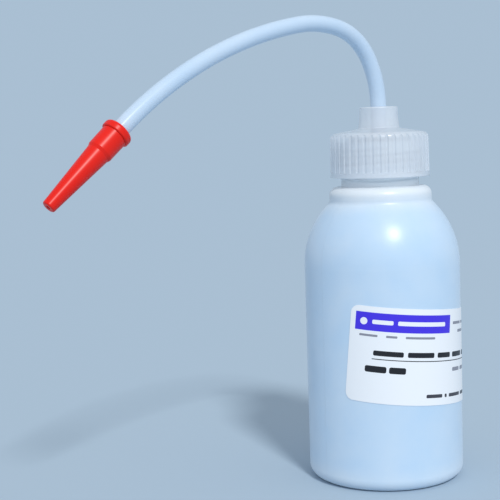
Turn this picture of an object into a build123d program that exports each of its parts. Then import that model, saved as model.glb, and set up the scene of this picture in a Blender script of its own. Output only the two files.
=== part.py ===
from build123d import *
import os
from math import atan, cos, degrees, pi, radians, sin, sqrt, tan

os.makedirs("parts", exist_ok=True)

# A squeeze wash bottle of a nominal 125 ml. It stands on z = 0 with its axis on Z, and its spout
# reaches towards -X in the XZ plane. All lengths are millimetres and all angles degrees.

# Bottle, blown in one piece
body_r = 24.8  # outside of the straight body
wall = 1.1  # wall of floor, body and shoulder
body_h = 68.6  # height at which the shoulder begins
base_round = 3.8  # rounding between base and body
push_up = 1.6  # height of the domed floor on the axis
foot_w = 2.0  # width of the flat ring that the bottle stands on
pinch_l = 26.0  # length of the weld left by the mould under the floor
pinch_w = 0.9
pinch_h = 0.35  # how far it stands out of the floor
shoulder_arc = 27.5  # radius of the shoulder in section
neck_r = 12.35  # outside of the neck, at the root of its thread
neck_wall = 1.45
neck_h = 14.1  # from the collar's top to the rim
collar_out = 3.95  # how far the collar stands out of the neck
collar_h = 5.0
collar_round = 2.8
collar_foot_round = 1.6  # hollow rounding between shoulder and collar
rim_round = 0.35

# Cap, moulded in one piece and seated on the neck's rim
seal_gap = 0.05  # between the rim and the cap's ceiling
thread_room = 1.6  # between neck and skirt, for the thread
skirt_gap = 2.8  # between the collar and the skirt's foot
skirt_wall = 1.82  # at the skirt's foot
skirt_draft = 0.23  # how much smaller the skirt's radius is at its top edge
shell_t = 1.7  # thickness of the conical top
top_edge_h = 2.6  # height of the skirt's top edge above the rim
top_edge_round = 1.9
top_slope = 10.3  # rise of the conical top
chimney_wall = 3.58
chimney_h = 10.9  # height of the chimney's top above the rim
chimney_flare = 0.45  # how much wider the chimney is at its foot
flare_h = 3.6  # height over which it widens
flare_round = 18.0
chimney_foot_round = 0.4
chimney_round = 0.5
groove_count = 42
groove_start = -3.4  # where the first groove lies, round from +X
groove_r = 0.6
groove_depth = 0.42
groove_foot = 1.7  # plain band below the grooves, which run out in the rounded top edge
plug_gap = 0.06  # between the sealing plug and the neck's bore
plug_w = 1.2
plug_h = 3.2
throat_drop = 3.3  # top of the throat below the rim
throat_t = 2.0  # stop between the two tubes
boss_wall = 1.85  # boss that holds the dip tube
boss_grip = 4.3  # how much of the dip tube is in it
inner_round = 0.8  # rounding in the corners under the conical top
foot_round = 0.5  # rounding on the feet of boss and plug
edge_round = 0.3  # rounding on small moulded edges

# Tubes
tube_r = 2.5
tube_wall = 0.9
tube_gap = 0.05  # running gap of a tube in the cap
end_gap = 0.1  # between a tube's end and the throat
riser_h = 0.2  # straight stretch above the chimney
first_bend = 30.7
first_angle = 28.9
tight_bend = 19.1
tight_angle = 47.7
easing_bend = 38.0
easing_angle = 23.3
long_bend = 127.3
long_angle = 31.6
dip_clearance = 3.4  # from the floor to the dip tube's mouth

# Nozzle, moulded in one piece and pushed on the delivery tube's end
nozzle_l = 29.9
nozzle_fit = 0.02
nozzle_seat = 9.2  # how far the tube goes in
socket_l = 8.6  # from the mouth to the step
socket_wall = 1.28
socket_taper = 0.08
rim_out = 0.54  # how far the bead at the mouth stands out of the socket
rim_t = 2.4
bead_round = 1.0
bead_foot_round = 0.4
step_in = 0.38  # from the socket's end down to the cone
step_l = 0.9  # length of the slope between them
step_round = 0.4
tip_r = 1.94
tip_round = 0.5
jet_r = 0.6
jet_l = 5.0
jet_round = 0.2

# Label, a film sheet stuck on a little crooked
label_w = 63.5
label_h = 29.6
label_corner = 2.5
label_t = 0.12
glue_t = 0.02
label_drop = 27.75  # from the shoulder down to its centre
label_angle = 5.4  # its centre, round from the front towards +X
label_tilt = -5.75

# Sizes and heights that follow from the driving ones
neck_bore_r = neck_r - neck_wall
collar_r = neck_r + collar_out
dome_rise = sqrt(shoulder_arc**2 - (shoulder_arc - body_r + collar_r) ** 2)
collar_z = body_h + dome_rise
collar_top = collar_z + collar_h
rim_z = collar_top + neck_h
floor_z = push_up + wall
shoulder_x = body_r - shoulder_arc
tube_bore_r = tube_r - tube_wall
guide_r = tube_r + tube_gap
foot_in = body_r - base_round - foot_w  # where the domed floor meets the flat ring
dome_mid = push_up * 3 / 4  # a shallow dome is that high half way out

# The outside of the bottle, from the domed floor to the rim
with BuildPart() as bottle:
    with BuildSketch(Plane.XZ):
        with BuildLine():
            Line((0, rim_z), (0, push_up))
            dome = ThreePointArc((0, push_up), (foot_in / 2, dome_mid), (foot_in, 0))
            foot = Line(dome @ 1, (body_r - base_round, 0))
            heel = JernArc(foot @ 1, (1, 0), base_round, 90)
            flank = Line(heel @ 1, (body_r, body_h))
            shoulder = ThreePointArc(
                flank @ 1,
                (
                    shoulder_x + sqrt(shoulder_arc**2 - (dome_rise / 2) ** 2),
                    body_h + dome_rise / 2,
                ),
                (collar_r, collar_z),
            )
            step = Line(shoulder @ 1, (collar_r, collar_top - collar_round))
            crown = JernArc(step @ 1, (0, 1), collar_round, 90)
            ledge = Line(crown @ 1, (neck_r, collar_top))
            Line(ledge @ 1, (neck_r, rim_z))
            Line((neck_r, rim_z), (0, rim_z))
        make_face()
    revolve(axis=Axis.Z)
    rings = bottle.edges().filter_by(lambda edge: edge.is_closed)
    fillet(rings.sort_by_distance((collar_r, 0, collar_z))[0], collar_foot_round)
    # The inside follows at one wall's thickness, up to the bore of the neck
    with BuildSketch(Plane.XZ):
        with BuildLine():
            inner_rise = sqrt((shoulder_arc - wall) ** 2 - (collar_r - wall - shoulder_x) ** 2)
            inner_top = collar_top - wall
            curl_r = collar_round - wall
            Line((0, rim_z), (0, floor_z))
            dish = ThreePointArc((0, floor_z), (foot_in / 2, dome_mid + wall), (foot_in, wall))
            flat = Line(dish @ 1, (body_r - base_round, wall))
            bend = JernArc(flat @ 1, (1, 0), base_round - wall, 90)
            inside = Line(bend @ 1, (body_r - wall, body_h))
            vault = ThreePointArc(
                inside @ 1,
                (
                    shoulder_x + sqrt((shoulder_arc - wall) ** 2 - (inner_rise / 2) ** 2),
                    body_h + inner_rise / 2,
                ),
                (collar_r - wall, body_h + inner_rise),
            )
            rise = Line(vault @ 1, (collar_r - wall, inner_top - curl_r))
            curl = JernArc(rise @ 1, (0, 1), curl_r, 90)
            shelf = Line(curl @ 1, (neck_bore_r, inner_top))
            Line(shelf @ 1, (neck_bore_r, rim_z))
            Line((neck_bore_r, rim_z), (0, rim_z))
        make_face()
    revolve(axis=Axis.Z, mode=Mode.SUBTRACT)
    rim_edges = bottle.faces().sort_by(Axis.Z)[-1].edges()
    fillet(rim_edges, rim_round)
    # The weld across the domed floor, where the mould pinched the tube of melt shut
    with BuildSketch(Plane.XZ):
        with BuildLine():
            pinch_end = (pinch_l / 2, push_up * (1 - (pinch_l / 2 / foot_in) ** 2))
            pinch_start = (-pinch_end[0], pinch_end[1])
            ThreePointArc(pinch_start, (0, push_up - pinch_h), pinch_end)
            ThreePointArc(pinch_end, (0, push_up + wall / 2), pinch_start)
        make_face()
    extrude(amount=pinch_w / 2, both=True)
bottle.part.label = "bottle"
export_step(bottle.part, "parts/bottle.step")

# The cap: skirt, conical top, chimney, sealing plug and the boss for the dip tube
ceiling_z = rim_z + seal_gap
skirt_foot_z = collar_top + skirt_gap
top_edge_z = rim_z + top_edge_h
chimney_top = rim_z + chimney_h
throat_top = rim_z - throat_drop
throat_foot = throat_top - throat_t
boss_foot_z = throat_foot - boss_grip
skirt_bore_r = neck_r + thread_room
skirt_foot_r = skirt_bore_r + skirt_wall
skirt_top_r = skirt_foot_r - skirt_draft
chimney_r = guide_r + chimney_wall
chimney_foot_r = chimney_r + chimney_flare
boss_r = guide_r + boss_wall
plug_r = neck_bore_r - plug_gap
slope = tan(radians(top_slope))
vault_r = plug_r - plug_w
draft = skirt_draft / (top_edge_z - skirt_foot_z)


def top_z(r):
    """Height of the conical top at a radius."""
    return top_edge_z + (skirt_top_r - r) * slope


with BuildPart() as cap:
    with BuildSketch(Plane.XZ):
        with BuildLine():
            FilletPolyline(
                (skirt_bore_r, skirt_foot_z),
                (skirt_foot_r, skirt_foot_z),
                (skirt_top_r, top_edge_z),
                (chimney_foot_r, top_z(chimney_foot_r)),
                (chimney_r, top_z(chimney_foot_r) + flare_h),
                (chimney_r, chimney_top),
                (guide_r, chimney_top),
                (guide_r, boss_foot_z),
                (boss_r, boss_foot_z),
                (boss_r, top_z(boss_r) - shell_t),
                (vault_r, top_z(vault_r) - shell_t),
                (vault_r, rim_z - plug_h),
                (plug_r, rim_z - plug_h),
                (plug_r, ceiling_z),
                (skirt_bore_r, ceiling_z),
                radius=[0, edge_round, top_edge_round, chimney_foot_round, flare_round]
                + [chimney_round, edge_round, 0, foot_round, inner_round, inner_round]
                + [edge_round, foot_round, 0, 0],
                close=True,
            )
        make_face()
    revolve(axis=Axis.Z)
    # The stop between the delivery tube and the dip tube, with the same bore as theirs
    with BuildSketch(Plane.XY.offset(throat_foot)):
        Circle((tube_r + boss_r) / 2)
        Circle(tube_bore_r, mode=Mode.SUBTRACT)
    extrude(amount=throat_t)
    # Grip grooves round the skirt, leaning in with its draft
    groove_low = skirt_foot_z + groove_foot
    groove_l = top_edge_z - groove_low
    groove_mid = groove_low + groove_l / 2
    groove_x = skirt_foot_r - draft * (groove_mid - skirt_foot_z) - groove_depth + groove_r
    with Locations(Plane.XY.offset(groove_mid)):
        with PolarLocations(groove_x, groove_count, start_angle=groove_start):
            Cylinder(groove_r, groove_l, rotation=(0, -degrees(atan(draft)), 0), mode=Mode.SUBTRACT)
cap.part.label = "cap"
export_step(cap.part, "parts/cap.step")

# The delivery tube: up through the chimney, over a tight bend that eases into a long one
with BuildPart() as delivery_tube:
    with BuildLine(Plane.XZ) as route:
        riser = Line((0, throat_top + end_gap), (0, chimney_top + riser_h))
        first = JernArc(riser @ 1, (0, 1), first_bend, first_angle)
        tight = JernArc(first @ 1, first % 1, tight_bend, tight_angle)
        easing = JernArc(tight @ 1, tight % 1, easing_bend, easing_angle)
        long = JernArc(easing @ 1, easing % 1, long_bend, long_angle)
        mouth = long @ 1
        heading = long % 1
        Line(mouth, mouth + heading * (nozzle_seat - end_gap))
    with BuildSketch(Plane.XY.offset(throat_top + end_gap)):
        Circle(tube_r)
        Circle(tube_bore_r, mode=Mode.SUBTRACT)
    sweep()
delivery_tube.part.label = "delivery_tube"
export_step(delivery_tube.part, "parts/delivery_tube.step")
print(f"The delivery tube is {sum(edge.length for edge in route.edges()):.1f} mm long")

# The dip tube: from the stop in the cap down to just above the floor
dip_top = throat_foot - end_gap
dip_foot = floor_z + dip_clearance
with BuildPart() as dip_tube:
    with BuildSketch(Plane.XY.offset(dip_foot)):
        Circle(tube_r)
        Circle(tube_bore_r, mode=Mode.SUBTRACT)
    extrude(amount=dip_top - dip_foot)
dip_tube.part.label = "dip_tube"
export_step(dip_tube.part, "parts/dip_tube.step")

# The nozzle: a rim, a socket over the tube's end and a cone down to the jet
across = Vector(0, 1, 0)
bore_r = tube_r + nozzle_fit
socket_r = bore_r + socket_wall
socket_end_r = socket_r - socket_taper
nozzle_section = Plane(origin=mouth, x_dir=across, z_dir=across.cross(heading))
with BuildPart() as nozzle:
    with BuildSketch(nozzle_section):
        with BuildLine():
            FilletPolyline(
                (bore_r, 0),
                (socket_r + rim_out, 0),
                (socket_r + rim_out, rim_t),
                (socket_r, rim_t),
                (socket_end_r, socket_l),
                (socket_end_r - step_in, socket_l + step_l),
                (tip_r, nozzle_l),
                (jet_r, nozzle_l),
                (jet_r, nozzle_l - jet_l),
                (tube_bore_r, nozzle_seat),
                (bore_r, nozzle_seat),
                radius=[edge_round, bead_round, bead_foot_round, 0, step_round, step_round]
                + [tip_round, jet_round, 0, 0, 0],
                close=True,
            )
        make_face()
    revolve(axis=Axis(mouth, heading))
nozzle.part.label = "nozzle"
export_step(nozzle.part, "parts/nozzle.step")

# The label: a strip wound on the body at its lean, trimmed square at both ends, with round corners
lean = radians(label_tilt)
label_z = body_h - label_drop
front = -90.0  # angle of the front, which faces -Y
label_mid = front + label_angle
label_mid_r = body_r + glue_t + label_t / 2
wind_spare = 6.0  # extra winding beyond each end, for the trim
wind_angle = degrees(label_w * cos(lean) / body_r) + 2 * wind_spare
wind_pitch = 2 * pi * label_mid_r * tan(-lean)


def label_plane(u, v):
    """The plane that touches the body at a point of the label, given on the flat sheet."""
    angle = radians(label_mid) + (u * cos(lean) - v * sin(lean)) / body_r
    radial = Vector(cos(angle), sin(angle), 0)
    along = Vector(-sin(angle), cos(angle), 0) * cos(lean) + Vector(0, 0, sin(lean))
    height = label_z + u * sin(lean) + v * cos(lean)
    return Plane(radial * body_r + Vector(0, 0, height), x_dir=along, z_dir=radial)


with BuildPart() as winding:
    with BuildLine() as turn:
        Helix(wind_pitch, wind_pitch * wind_angle / 360, label_mid_r, lefthand=True)
    with BuildSketch(Plane.XZ):
        with Locations((label_mid_r, 0)):
            Rectangle(label_t, label_h / cos(lean))
    sweep(path=turn.line, is_frenet=True)
wind_low = label_z - wind_pitch * wind_angle / 720
with BuildPart() as label:
    add(winding.part.moved(Location((0, 0, wind_low), (0, 0, label_mid + wind_angle / 2))))
    for side in (-1, 1):  # left end, right end
        end = label_plane(side * label_w / 2, 0)
        split(bisect_by=Plane(end.origin, x_dir=end.z_dir, z_dir=end.x_dir * -side), keep=Keep.TOP)
        for edge in (-1, 1):
            corner = label_plane(side * (label_w / 2 - label_corner), edge * (label_h / 2 - label_corner))
            with BuildSketch(corner):
                with Locations((side * label_corner, edge * label_corner)):
                    Rectangle(2 * label_corner, 2 * label_corner)
                Circle(label_corner, mode=Mode.SUBTRACT)
            extrude(amount=label_corner, both=True, mode=Mode.SUBTRACT)
label.part.label = "label"
export_step(label.part, "parts/label.step")
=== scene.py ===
from math import pi, radians, sin
import bpy
from mathutils import Euler, Matrix, Vector


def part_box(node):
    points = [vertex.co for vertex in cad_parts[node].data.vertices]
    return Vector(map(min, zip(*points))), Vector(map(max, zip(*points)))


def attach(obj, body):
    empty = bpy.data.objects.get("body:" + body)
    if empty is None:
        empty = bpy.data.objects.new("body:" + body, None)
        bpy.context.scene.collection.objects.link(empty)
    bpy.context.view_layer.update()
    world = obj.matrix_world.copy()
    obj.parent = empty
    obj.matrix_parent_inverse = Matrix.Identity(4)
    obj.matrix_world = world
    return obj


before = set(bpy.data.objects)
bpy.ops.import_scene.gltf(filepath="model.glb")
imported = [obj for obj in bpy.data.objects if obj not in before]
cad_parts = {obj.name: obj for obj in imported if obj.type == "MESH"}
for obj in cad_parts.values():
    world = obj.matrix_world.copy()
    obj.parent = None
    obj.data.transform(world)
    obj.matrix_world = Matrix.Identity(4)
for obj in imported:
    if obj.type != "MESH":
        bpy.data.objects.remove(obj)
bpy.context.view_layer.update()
mm = 0.001

# The viewpoint
# A long lens a little above the collar looks down on the bottle, from the side that the spout
# leaves on. The camera leans slightly, and the bottle stands right of the middle.
eye = Vector((-248.05, -275.48, 109.3)) * mm
heading = radians(35.45)
downward = radians(5.45)
camera_roll = radians(-1.88)
sensor = 36.0
focal_share = 2.3  # focal length over the picture's width
nearest_seen = 10 * mm

camera_data = bpy.data.cameras.new("viewpoint")
camera_data.sensor_width = sensor
camera_data.lens = sensor * focal_share
camera_data.clip_start = nearest_seen
camera = bpy.data.objects.new("viewpoint", camera_data)
bpy.context.collection.objects.link(camera)
aim = Euler((pi / 2 - downward, 0, -heading)).to_matrix() @ Matrix.Rotation(camera_roll, 3, "Z")
camera.matrix_world = Matrix.Translation(eye) @ aim.to_4x4()
bpy.context.scene.camera = camera


# The bottle
# One shell, blown in natural low-density polyethylene: milky, satin and a little wavy. Its wall is
# thicker in the neck and the heel, which are whiter for it. The neck is also whitened as painted
# light, to stand in for the light that the cap's skirt shades off it. A fine raised line shows
# where the mould's halves met.
def add_sockets(group, inputs=(), outputs=()):
    """Names a node group's inputs, each with its first value, and its outputs, each with its kind."""
    kinds = {float: "Float", int: "Int", tuple: "Vector", type(None): "Material"}
    for name, value in inputs:
        socket = group.interface.new_socket(
            name, in_out="INPUT", socket_type="NodeSocket" + kinds[type(value)]
        )
        if value is not None:
            socket.default_value = value
    for name, kind in outputs:
        group.interface.new_socket(name, in_out="OUTPUT", socket_type="NodeSocket" + kind)


def fill_socket(tree, socket, value):
    """Sets a socket to a plain value, or links it to another node's output."""
    if isinstance(value, bpy.types.NodeSocket):
        tree.links.new(value, socket)
    else:
        socket.default_value = value


def fill_sockets(tree, node, values):
    """Fills a node's inputs in their order."""
    for socket, value in zip(node.inputs, values):
        fill_socket(tree, socket, value)


def maths(tree, operation, *values):
    node = tree.nodes.new("ShaderNodeMath")
    node.operation = operation
    fill_sockets(tree, node, values)
    return node.outputs[0]


def slope_between(tree, value, start, end, height=1.0):
    """Rises smoothly from 0 to a height as a value goes from one place to another."""
    node = tree.nodes.new("ShaderNodeMapRange")
    node.interpolation_type = "SMOOTHSTEP"
    fill_sockets(tree, node, (value, start, end, 0.0, height))
    return node.outputs["Result"]


def mixed(tree, share, first, second):
    """Goes from one colour to another as the share goes from 0 to 1."""
    node = tree.nodes.new("ShaderNodeMix")
    node.data_type = "RGBA"
    for name, value in (("Factor", share), ("A", first), ("B", second)):
        fill_socket(tree, node.inputs[name], value)
    return node.outputs["Result"]


def moulded_skin_group():
    """Fine grain, faint waves and cloudiness of a moulded plastic, with its height in millimetres."""
    group = bpy.data.node_groups.new("moulded_skin", "ShaderNodeTree")
    add_sockets(
        group,
        [
            ("Grains per metre", 2500.0),
            ("Grain height", 0.0015),
            ("Waves per metre", 90.0),
            ("Wave height", 0.02),
            ("Roughness", 0.3),
            ("Roughness spread", 0.1),
        ],
        [("Roughness", "Float"), ("Height", "Float"), ("Cloud", "Float")],
    )
    given = group.nodes.new("NodeGroupInput").outputs
    result = group.nodes.new("NodeGroupOutput").inputs
    place = group.nodes.new("ShaderNodeTexCoord").outputs["Object"]
    noises = {}
    for what, detail in (("Grain", 2.0), ("Wave", 3.0)):
        noise = group.nodes.new("ShaderNodeTexNoise")
        noise.inputs["Detail"].default_value = detail
        group.links.new(place, noise.inputs["Vector"])
        group.links.new(given[what + "s per metre"], noise.inputs["Scale"])
        noises[what] = noise.outputs["Fac"]
    wave = noises["Wave"]
    uneven = maths(group, "SUBTRACT", wave, 0.5)
    rough = maths(group, "MULTIPLY_ADD", uneven, given["Roughness spread"], given["Roughness"])
    waves = maths(group, "MULTIPLY", wave, given["Wave height"])
    height = maths(group, "MULTIPLY_ADD", noises["Grain"], given["Grain height"], waves)
    group.links.new(rough, result["Roughness"])
    group.links.new(height, result["Height"])
    group.links.new(wave, result["Cloud"])
    return group


moulded_skin = moulded_skin_group()


def with_skin(name, roughness, wave_height):
    """A material with a skin, its shader, the skin's cloud, and the socket that takes more height."""
    material = bpy.data.materials.new(name)
    material.use_nodes = True
    tree = material.node_tree
    shader = tree.nodes["Principled BSDF"]
    skin = tree.nodes.new("ShaderNodeGroup")
    skin.node_tree = moulded_skin
    skin.inputs["Roughness"].default_value = roughness
    skin.inputs["Wave height"].default_value = wave_height
    height = tree.nodes.new("ShaderNodeMath")
    height.operation = "ADD"
    fill_sockets(tree, height, (skin.outputs["Height"], 0.0))
    relief = tree.nodes.new("ShaderNodeBump")
    relief.inputs["Distance"].default_value = mm
    tree.links.new(height.outputs[0], relief.inputs["Height"])
    tree.links.new(relief.outputs["Normal"], shader.inputs["Normal"])
    tree.links.new(skin.outputs["Roughness"], shader.inputs["Roughness"])
    return material, shader, skin.outputs["Cloud"], height.inputs[1]


cloud_share = 0.5  # how far the clouds reach from the thin tone to the thick one
polyolefin_ior = 1.51


def plastic(name, thin_tone, thick_tone, roughness, see_through=0.0, sheen=0.0, specular=0.5,
            wave_height=0.02):
    """A moulded plastic, its shader, and the sockets that take more thickness and more height."""
    material, shader, cloud, more_height = with_skin(name, roughness, wave_height)
    tree = material.node_tree
    thickness = tree.nodes.new("ShaderNodeMath")
    thickness.operation = "MULTIPLY_ADD"
    thickness.use_clamp = True
    fill_sockets(tree, thickness, (cloud, cloud_share, 0.0))
    tone = mixed(tree, thickness.outputs[0], (*thin_tone, 1), (*thick_tone, 1))
    tree.links.new(tone, shader.inputs["Base Color"])
    shader.inputs["IOR"].default_value = polyolefin_ior
    shader.inputs["Specular IOR Level"].default_value = specular
    shader.inputs["Alpha"].default_value = 1 - see_through
    shader.inputs["Sheen Weight"].default_value = sheen
    return material, shader, thickness.inputs[2], more_height


def finish_node(name, material):
    """Gives a solid of the fixed frame its finish."""
    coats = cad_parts[name].data.materials
    coats.clear()
    coats.append(material)


bottle_wall, _, bottle_thickness_and_neck_light, bottle_height = plastic(
    "bottle_wall",
    thin_tone=(0.54, 0.76, 0.99),
    thick_tone=(0.87, 0.94, 1.0),
    roughness=0.31,
    see_through=0.12,
    sheen=0.2,
    wave_height=0.035,
)
neck_begins, neck_whole = 84 * mm, 95 * mm
heel_begins, heel_whole = 9 * mm, 1 * mm
heel_thickness = 0.3
parting_half_width = 0.16 * mm
parting_height = 0.05  # millimetres, as all height in a relief

tree = bottle_wall.node_tree
place = tree.nodes.new("ShaderNodeSeparateXYZ")
tree.links.new(tree.nodes.new("ShaderNodeTexCoord").outputs["Object"], place.inputs[0])
# Painted light in part: the neck is whiter for its thicker wall, and also lightened to make up for
# the shade under the cap's skirt.
neck_thickness_and_painted_light = slope_between(tree, place.outputs["Z"], neck_begins, neck_whole)
in_heel = slope_between(tree, place.outputs["Z"], heel_begins, heel_whole, height=heel_thickness)
tree.links.new(maths(tree, "ADD", neck_thickness_and_painted_light, in_heel), bottle_thickness_and_neck_light)
off_parting = maths(tree, "ABSOLUTE", place.outputs["Y"])
ridge = slope_between(tree, off_parting, parting_half_width, 0.0, height=parting_height)
tree.links.new(ridge, bottle_height)
finish_node("bottle", bottle_wall)


# The neck's thread
# A right-hand thread with round shoulders, moulded on the neck at four millimetres a turn. Its
# lower end runs out softly just below the skirt, where it can be seen.
def thread_group():
    """A trapezium swept along a helix about Z, sunk a little into its wall, with its ends run out."""
    rounding_share = 0.4  # radius of the crest's corners over its width
    rounding_steps = 4
    end_scale = 0.04  # what is left of the section at the very ends
    group = bpy.data.node_groups.new("thread", "GeometryNodeTree")
    add_sockets(
        group,
        [
            ("Wall radius", 12.35 * mm),
            ("Pitch", 4.0 * mm),
            ("Turns", 2.0),
            ("Low end", 95.0 * mm),
            ("Start angle", 0.0),
            ("Depth", 1.2 * mm),
            ("Sink", 0.06 * mm),
            ("Root width", 2.1 * mm),
            ("Crest width", 0.8 * mm),
            ("Outward", 1.0),
            ("Run-out share", 0.08),
            ("Steps per turn", 96),
            ("Finish", None),
        ],
        [("Thread", "Geometry")],
    )
    new, link = group.nodes.new, group.links.new
    given = new("NodeGroupInput").outputs

    def vector(x=0.0, y=0.0, z=0.0):
        node = new("ShaderNodeCombineXYZ")
        fill_sockets(group, node, (x, y, z))
        return node.outputs[0]

    helix = new("GeometryNodeCurveSpiral")
    helix.inputs["Reverse"].default_value = True  # so that it rises anticlockwise
    link(given["Steps per turn"], helix.inputs["Resolution"])
    link(given["Turns"], helix.inputs["Rotations"])
    link(given["Wall radius"], helix.inputs["Start Radius"])
    link(given["Wall radius"], helix.inputs["End Radius"])
    link(maths(group, "MULTIPLY", given["Pitch"], given["Turns"]), helix.inputs["Height"])
    upright = new("GeometryNodeSetCurveNormal")
    upright.mode = "Z_UP"
    link(helix.outputs["Curve"], upright.inputs["Curve"])

    section = new("GeometryNodeCurvePrimitiveQuadrilateral")
    section.mode = "TRAPEZOID"
    section.inputs["Offset"].default_value = 0
    link(maths(group, "ADD", given["Depth"], given["Sink"]), section.inputs["Height"])
    link(given["Root width"], section.inputs["Bottom Width"])
    link(given["Crest width"], section.inputs["Top Width"])
    rounded = new("GeometryNodeFilletCurve")
    rounded.mode = "POLY"
    rounded.inputs["Count"].default_value = rounding_steps
    rounded.inputs["Limit Radius"].default_value = True
    link(section.outputs["Curve"], rounded.inputs["Curve"])
    link(maths(group, "MULTIPLY", given["Crest width"], rounding_share), rounded.inputs["Radius"])
    seated = new("GeometryNodeTransform")
    middle = maths(group, "MULTIPLY", maths(group, "SUBTRACT", given["Depth"], given["Sink"]), 0.5)
    link(rounded.outputs["Curve"], seated.inputs["Geometry"])
    link(vector(x=maths(group, "MULTIPLY", middle, given["Outward"])), seated.inputs["Translation"])
    link(vector(z=maths(group, "MULTIPLY", given["Outward"], -pi / 2)), seated.inputs["Rotation"])

    along = new("GeometryNodeSplineParameter").outputs["Factor"]
    to_end = maths(group, "MINIMUM", along, maths(group, "SUBTRACT", 1.0, along))
    fade = new("ShaderNodeMapRange")
    fade.interpolation_type = "SMOOTHSTEP"
    fade.inputs["To Min"].default_value = end_scale
    link(to_end, fade.inputs["Value"])
    link(given["Run-out share"], fade.inputs["From Max"])
    swept = new("GeometryNodeCurveToMesh")
    swept.inputs["Fill Caps"].default_value = True
    link(upright.outputs["Curve"], swept.inputs["Curve"])
    link(seated.outputs["Geometry"], swept.inputs["Profile Curve"])
    link(fade.outputs["Result"], swept.inputs["Scale"])

    placed = new("GeometryNodeTransform")
    link(swept.outputs["Mesh"], placed.inputs["Geometry"])
    link(vector(z=given["Low end"]), placed.inputs["Translation"])
    link(vector(z=given["Start angle"]), placed.inputs["Rotation"])
    smooth = new("GeometryNodeSetShadeSmooth")
    link(placed.outputs["Geometry"], smooth.inputs["Geometry"])
    real = new("GeometryNodeRealizeInstances")
    link(smooth.outputs["Geometry"], real.inputs["Geometry"])
    coated = new("GeometryNodeSetMaterial")
    link(real.outputs["Geometry"], coated.inputs["Geometry"])
    link(given["Finish"], coated.inputs["Material"])
    link(coated.outputs["Geometry"], new("NodeGroupOutput").inputs["Thread"])
    return group


def built_piece(name, group, body, values):
    """A plain mesh made by a node tree with these inputs, which rides on a body."""
    piece = bpy.data.objects.new(name, bpy.data.meshes.new(name + "_start"))
    bpy.context.collection.objects.link(piece)
    maker = piece.modifiers.new("maker", "NODES")
    maker.node_group = group
    for item in group.interface.items_tree:
        if item.in_out == "INPUT" and item.name in values:
            maker[item.identifier] = values[item.name]
    made = piece.evaluated_get(bpy.context.evaluated_depsgraph_get())
    mesh = bpy.data.meshes.new_from_object(made)
    piece.modifiers.remove(maker)
    piece.data = mesh
    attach(piece, body)


thread = thread_group()
pitch = 4.0 * mm
neck_r = 12.35 * mm
neck_turns = 2.6
neck_thread_foot = 95.5 * mm
neck_thread_start = radians(170)  # where the lower end lies, round from +X
built_piece(
    "neck_thread",
    thread,
    "bottle",
    {
        "Wall radius": neck_r,
        "Pitch": pitch,
        "Turns": neck_turns,
        "Low end": neck_thread_foot,
        "Start angle": neck_thread_start,
        "Finish": bottle_wall,
    },
)

# The cap
# One moulding in natural polypropylene, clearer than the bottle, with a glossy skin over its milky
# core and a grooved grip. Its own thread lies half a pitch above the neck's, between two turns.
cap_plastic, cap_shader = plastic(
    "cap_plastic",
    thin_tone=(0.84, 0.91, 1.0),
    thick_tone=(0.97, 0.99, 1.0),
    roughness=0.45,
    see_through=0.5,
    specular=0.8,
    wave_height=0.012,
)[:2]
cap_shader.inputs["Coat Weight"].default_value = 0.7
cap_shader.inputs["Coat Roughness"].default_value = 0.08
finish_node("cap", cap_plastic)

skirt_bore_r = 13.95 * mm
cap_turns = 2.0
quarter_turn = pi / 2
quarter_pitch = pitch / 4
built_piece(
    "cap_thread",
    thread,
    "cap",
    {
        "Wall radius": skirt_bore_r,
        "Pitch": pitch,
        "Turns": cap_turns,
        "Low end": neck_thread_foot + pitch / 2 + quarter_pitch,
        "Start angle": neck_thread_start + quarter_turn,
        "Outward": -1.0,
        "Finish": cap_plastic,
    },
)

# The tubes
# Extruded low-density polyethylene, a little clearer than the bottle. The delivery tube was bent
# warm and keeps its bow, and the straight dip tube hangs from the boss in the cap.
tube_plastic = plastic(
    "tube_plastic",
    thin_tone=(0.60, 0.78, 0.98),
    thick_tone=(0.85, 0.93, 1.0),
    roughness=0.25,
    see_through=0.2,
    sheen=0.1,
    wave_height=0.015,
)[0]
finish_node("delivery_tube", tube_plastic)
finish_node("dip_tube", tube_plastic)

# The nozzle
# Moulded polyethylene, coloured red through and softly glossy. Its socket is pushed over the
# delivery tube's end, up to a stop inside.
nozzle_red = plastic(
    "nozzle_red",
    thin_tone=(0.80, 0.010, 0.003),
    thick_tone=(0.92, 0.020, 0.006),
    roughness=0.33,
    specular=0.3,
    wave_height=0.012,
)[0]
finish_node("nozzle", nozzle_red)


# The label
# A smooth white self-adhesive sheet with round corners, stuck on a little crooked. The print is a
# violet field with white bars in it, over lines of grey and black bars.
def sheet_place_group():
    """A point's place on the flat sheet, in millimetres from its centre."""
    group = bpy.data.node_groups.new("sheet_place", "ShaderNodeTree")
    add_sockets(
        group,
        [("Radius", 24.8), ("Centre angle", 0.0), ("Centre height", 40.0), ("Lean", 0.0)],
        [("Place", "Vector")],
    )
    given = group.nodes.new("NodeGroupInput").outputs
    place = group.nodes.new("ShaderNodeSeparateXYZ")
    group.links.new(group.nodes.new("ShaderNodeTexCoord").outputs["Object"], place.inputs[0])
    angle = maths(group, "ARCTAN2", place.outputs["Y"], place.outputs["X"])
    turned = maths(group, "SUBTRACT", angle, given["Centre angle"])
    height = maths(group, "MULTIPLY", place.outputs["Z"], 1 / mm)
    flat = group.nodes.new("ShaderNodeCombineXYZ")
    group.links.new(maths(group, "MULTIPLY", turned, given["Radius"]), flat.inputs["X"])
    group.links.new(maths(group, "SUBTRACT", height, given["Centre height"]), flat.inputs["Y"])
    straight = group.nodes.new("ShaderNodeVectorRotate")
    straight.rotation_type = "Z_AXIS"
    group.links.new(flat.outputs[0], straight.inputs["Vector"])
    group.links.new(maths(group, "MULTIPLY", given["Lean"], -1.0), straight.inputs["Angle"])
    group.links.new(straight.outputs[0], group.nodes.new("NodeGroupOutput").inputs["Place"])
    return group


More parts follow.
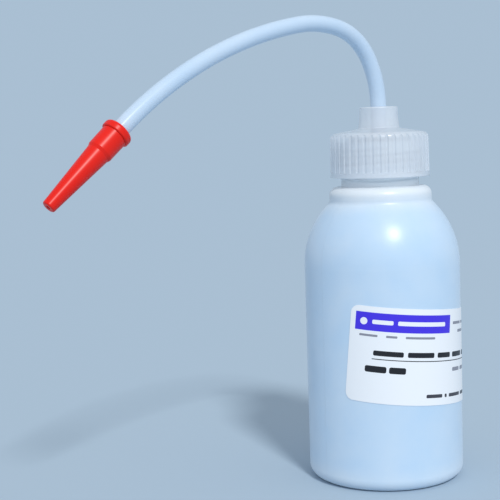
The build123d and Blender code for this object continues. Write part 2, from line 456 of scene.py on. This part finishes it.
def printed_bar_group():
    """Ink in one bar with round corners: 1 in the bar and 0 outside."""
    group = bpy.data.node_groups.new("printed_bar", "ShaderNodeTree")
    add_sockets(
        group,
        [
            ("Place", (0.0, 0.0, 0.0)),
            ("Left", 0.0),
            ("Foot", 0.0),
            ("Width", 1.0),
            ("Height", 1.0),
            ("Corner", 0.2),
            ("Ink before", 0.0),
        ],
        [("Ink", "Float")],
    )
    given = group.nodes.new("NodeGroupInput").outputs
    place = group.nodes.new("ShaderNodeSeparateXYZ")
    group.links.new(given["Place"], place.inputs[0])

    def past_core(position, start, size):
        """How far a position lies past the straight core of a side that is this long."""
        half = maths(group, "MULTIPLY", given[size], 0.5)
        middle = maths(group, "ADD", given[start], half)
        from_middle = maths(group, "ABSOLUTE", maths(group, "SUBTRACT", position, middle))
        core = maths(group, "SUBTRACT", half, given["Corner"])
        return maths(group, "MAXIMUM", maths(group, "SUBTRACT", from_middle, core), 0.0)

    across = past_core(place.outputs["X"], "Left", "Width")
    up = past_core(place.outputs["Y"], "Foot", "Height")
    squares = maths(group, "MULTIPLY_ADD", across, across, maths(group, "MULTIPLY", up, up))
    inked = maths(group, "LESS_THAN", maths(group, "SQRT", squares), given["Corner"])
    total = maths(group, "MAXIMUM", inked, given["Ink before"])
    group.links.new(total, group.nodes.new("NodeGroupOutput").inputs["Ink"])
    return group


label_film, label_shader = with_skin("label_film", roughness=0.36, wave_height=0.01)[:2]
label_low, label_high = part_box("label")
body_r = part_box("bottle")[1][0]
label_bearing = radians(-84.6)  # of its middle, round from +X
label_lean = radians(-5.75)
sheet_tone = (0.90, 0.93, 0.97)

tree = label_film.node_tree
sheet = tree.nodes.new("ShaderNodeGroup")
sheet.node_tree = sheet_place_group()
sheet.inputs["Radius"].default_value = body_r / mm
sheet.inputs["Centre angle"].default_value = label_bearing
sheet.inputs["Centre height"].default_value = (label_low[2] + label_high[2]) / 2 / mm
sheet.inputs["Lean"].default_value = label_lean
place = sheet.outputs["Place"]
printed_bar = printed_bar_group()
bar_rounding = 0.3  # the corner radius of a bar in a row, over its height


class Ink:
    """One colour of ink, printed bar by bar, in millimetres from the sheet's centre."""

    def __init__(self, tint):
        self.tint = (*tint, 1)
        self.mask = 0.0

    def bar(self, left, foot, width, height, corner=0.15):
        node = tree.nodes.new("ShaderNodeGroup")
        node.node_tree = printed_bar
        fill_sockets(tree, node, (place, left, foot, width, height, corner, self.mask))
        self.mask = node.outputs["Ink"]

    def row(self, left, foot, height, gap, widths):
        """Bars of one height, side by side."""
        for width in widths:
            self.bar(left, foot, width, height, corner=height * bar_rounding)
            left += width + gap


violet = Ink((0.055, 0.028, 0.76))
violet.bar(-30.1, 7.4, 32.6, 5.6)
white = Ink((0.90, 0.92, 0.97))
white.bar(-28.6, 9.1, 2.2, 2.2, corner=1.1)
white.row(-24.9, 9.55, 1.3, 1.4, (6.4, 17.0))
grey = Ink((0.27, 0.28, 0.34))
grey.row(-28.6, 5.6, 0.7, 2.6, (5.6, 3.4, 10.2))
grey.row(4.3, 10.0, 0.9, 1.0, (6.2, 4.1, 7.3))
grey.row(8.0, 7.4, 0.9, 1.0, (5.4, 8.2))
grey.row(4.8, -4.6, 1.2, 1.1, (5.0, 4.2, 6.8))
black = Ink((0.010, 0.010, 0.014))
black.row(-23.9, -0.1, 1.6, 1.3, (9.3, 9.2, 5.9, 7.2, 8.1))
black.bar(-24.2, -1.3, 46.6, 0.28, corner=0.1)
black.row(-26.1, -5.3, 2.0, 0.8, (6.6, 5.2))
dark_grey = Ink((0.05, 0.05, 0.065))
dark_grey.row(-6.1, -12.5, 1.1, 1.1, (6.3, 1.0, 7.2, 4.6))

colour = (*sheet_tone, 1)
for ink in (violet, white, grey, black, dark_grey):
    colour = mixed(tree, ink.mask, colour, ink.tint)
tree.links.new(colour, label_shader.inputs["Base Color"])
finish_node("label", label_film)

# The floor
# A wide plain table top, pale and cool. What is seen behind it has the colour of the lit table,
# so that no horizon shows.
floor_tone = (0.42, 0.53, 0.635)
floor_reach = 30.0  # metres, past all that is seen
corners = [(-1, -1, 0), (1, -1, 0), (1, 1, 0), (-1, 1, 0)]
floor_mesh = bpy.data.meshes.new("floor")
floor_mesh.from_pydata([Vector(c) * floor_reach for c in corners], [], [(0, 1, 2, 3)])
floor = bpy.data.objects.new("floor", floor_mesh)
bpy.context.collection.objects.link(floor)
floor_paint = bpy.data.materials.new("floor_paint")
floor_paint.use_nodes = True
floor_shader = floor_paint.node_tree.nodes["Principled BSDF"]
floor_shader.inputs["Base Color"].default_value = (*floor_tone, 1)
floor_shader.inputs["Roughness"].default_value = 1.0
floor_shader.inputs["Specular IOR Level"].default_value = 0.0
floor_mesh.materials.append(floor_paint)

# The light
# A large soft room, even and a little cool, and one small lamp high up to the right of the
# camera, which gives the bright spot on the shoulder. What is seen of the room is the floor's tone.
room_light = (0.55, 0.585, 0.63)
key_tint = (1.0, 0.99, 0.97)
key_energy = 1.9
key_bearing = radians(-108)  # round from +X
key_height = radians(42)
key_width = radians(9)
key = bpy.data.lights.new("key", "SUN")
key.energy = key_energy
key.angle = key_width
key.color = key_tint
key_lamp = bpy.data.objects.new("key", key)
bpy.context.collection.objects.link(key_lamp)
key_lamp.rotation_euler = (pi / 2 - key_height, 0, key_bearing + pi / 2)

world = bpy.data.worlds.new("studio")
bpy.context.scene.world = world
world.use_nodes = True
room = world.node_tree
light = room.nodes["Background"]
light.inputs["Color"].default_value = (*room_light, 1)
shown = room.nodes.new("ShaderNodeBackground")
key_share = key_energy * sin(key_height) / pi  # its light on a level surface
shown.inputs["Color"].default_value = (
    *(tone * (soft + tint * key_share) for tone, soft, tint in zip(floor_tone, room_light, key_tint)),
    1,
)
ray = room.nodes.new("ShaderNodeLightPath").outputs
seen = maths(room, "MAXIMUM", ray["Is Camera Ray"], ray["Is Glossy Ray"])
seen = maths(room, "MAXIMUM", seen, ray["Is Transmission Ray"])
choice = room.nodes.new("ShaderNodeMixShader")
fill_sockets(room, choice, (seen, light.outputs[0], shown.outputs[0]))
room.links.new(choice.outputs[0], room.nodes["World Output"].inputs["Surface"])

bpy.context.scene.view_settings.view_transform = "Standard"
bpy.context.view_layer.update()
